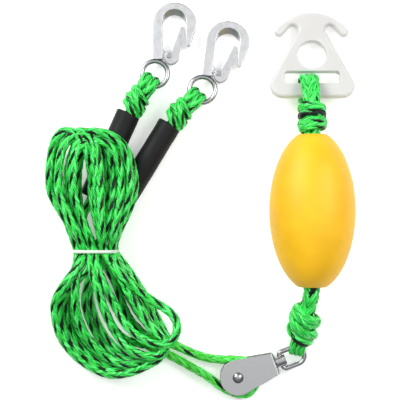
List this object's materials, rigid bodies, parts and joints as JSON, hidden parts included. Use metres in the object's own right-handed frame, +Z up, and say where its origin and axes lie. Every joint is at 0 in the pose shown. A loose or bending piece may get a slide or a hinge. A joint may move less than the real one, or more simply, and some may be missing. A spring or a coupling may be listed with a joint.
{
  "type": "boat tow harness",
  "caption": "Boat tow harness: two snap hooks on a hank of braided rope, a pulley block with swivel eye, a float, and a notched quick connector on a short tow leg.",
  "frame": {"origin": "middle of the base of the harness, measured without its rope hank and free rope runs, on the flat surface it lies on", "axes": "+Z up off the surface, +Y from the pulley block towards the snap hooks and the connector, +X from the hank towards the float"},
  "size_m": [0.3003, 0.3875, 0.082],
  "materials": {
    "cast_steel": "satin cast stainless steel",
    "polished_steel": "polished stainless steel",
    "gate_steel": "pressed stainless sheet",
    "spring_steel": "spring wire",
    "shell_steel": "satin pressed stainless sheet",
    "washer_steel": "satin",
    "bush_brass": "turned bronze",
    "sheave_plastic": "black moulded",
    "green_rope": "braided polyethylene rope with black tracer",
    "tow_rope_green": "braided polyethylene rope with black tracer",
    "black_foam": "matte foam sleeve",
    "tie_white": "white nylon",
    "float_foam": "satin closed-cell foam",
    "connector_plastic": "milky moulded nylon"
  },
  "bodies": {
    "harness": {"rope_hank": "green_rope", "hank_tie": "tie_white", "side_loop": "green_rope", "block_rope": "green_rope", "sleeve_rope_left": "green_rope", "sleeve_rope_right": "green_rope", "hook_knot_left": "green_rope", "hook_knot_right": "green_rope"},
    "hook_left": {"hook_body_left": "cast_steel", "hook_ring_left": "polished_steel", "gate_pin_left": "polished_steel"},
    "gate_left": {"gate_left": "gate_steel", "gate_spring_left": "spring_steel"},
    "sleeve_left": {"sleeve_left": "black_foam"},
    "hook_right": {"hook_body_right": "cast_steel", "hook_ring_right": "polished_steel", "gate_pin_right": "polished_steel"},
    "gate_right": {"gate_right": "gate_steel", "gate_spring_right": "spring_steel"},
    "sleeve_right": {"sleeve_right": "black_foam"},
    "block": {"block_shell": "shell_steel", "block_rivet": "polished_steel", "sheave_bush": "bush_brass", "sheave_washers": "washer_steel"},
    "sheave": {"sheave": "sheave_plastic"},
    "swivel": {"swivel_stem": "polished_steel", "swivel_eye": "polished_steel", "swivel_washer": "washer_steel"},
    "tow_leg": {"tow_knot": "tow_rope_green", "tow_rope": "tow_rope_green", "stop_knot": "tow_rope_green"},
    "float": {"float": "float_foam"},
    "connector": {"quick_connector": "connector_plastic"}
  },
  "joints": [
    {"name": "hook_left_swing", "type": "hinge", "parent": "harness", "child": "hook_left", "pos_m": [-0.0608, 0.1222, 0.01023], "axis": [0, 0.0785, 0.9969], "range_deg": [-10, 75]},
    {"name": "gate_left_swing", "type": "hinge", "parent": "hook_left", "child": "gate_left", "pos_m": [-0.0469, 0.13945, 0.00887], "axis": [0, 0.0785, 0.9969], "range_deg": [0, 30], "stiffness_Nm_per_rad": 0.2, "springref_deg": -28.65, "deforming": ["gate_spring_left"]},
    {"name": "sleeve_left_slide", "type": "slide", "parent": "harness", "child": "sleeve_left", "axis": [-0.4067, -0.9135, 0], "range_m": [0, 0.015]},
    {"name": "hook_right_swing", "type": "hinge", "parent": "harness", "child": "hook_right", "pos_m": [-0.0143, 0.1066, 0.01023], "axis": [0.0096, 0.0779, 0.9969], "range_deg": [-35, 10]},
    {"name": "gate_right_swing", "type": "hinge", "parent": "hook_right", "child": "gate_right", "pos_m": [0.0016, 0.12202, 0.00887], "axis": [0.0096, 0.0779, 0.9969], "range_deg": [0, 30], "stiffness_Nm_per_rad": 0.2, "springref_deg": -28.65, "deforming": ["gate_spring_right"]},
    {"name": "sleeve_right_slide", "type": "slide", "parent": "harness", "child": "sleeve_right", "axis": [-0.5225, -0.8526, 0], "range_m": [0, 0.015]},
    {"name": "block_swing", "type": "hinge", "parent": "harness", "child": "block", "pos_m": [0.0204, -0.1743, 0.00942], "axis": [0, 0, 1], "range_deg": [-60, 0]},
    {"name": "sheave_spin", "type": "hinge", "parent": "block", "child": "sheave", "pos_m": [0.0204, -0.1743, 0.00942], "axis": [0, 0, 1], "continuous": true},
    {"name": "swivel_spin", "type": "hinge", "parent": "block", "child": "swivel", "pos_m": [0.0204, -0.1743, 0.00942], "axis": [0.9379, 0.3469, 0], "continuous": true},
    {"name": "tow_leg_lift", "type": "hinge", "parent": "swivel", "child": "tow_leg", "pos_m": [0.07865, -0.14509, 0.00942], "axis": [0.9781, -0.2079, 0], "range_deg": [0, 90]},
    {"name": "float_spin", "type": "hinge", "parent": "tow_leg", "child": "float", "pos_m": [0.0904, -0.0113, 0.041], "axis": [0, 1, 0], "continuous": true},
    {"name": "connector_tilt", "type": "hinge", "parent": "tow_leg", "child": "connector", "pos_m": [0.0923, 0.1046, 0.01864], "axis": [1, 0, 0], "range_deg": [0, 75]}
  ]
}
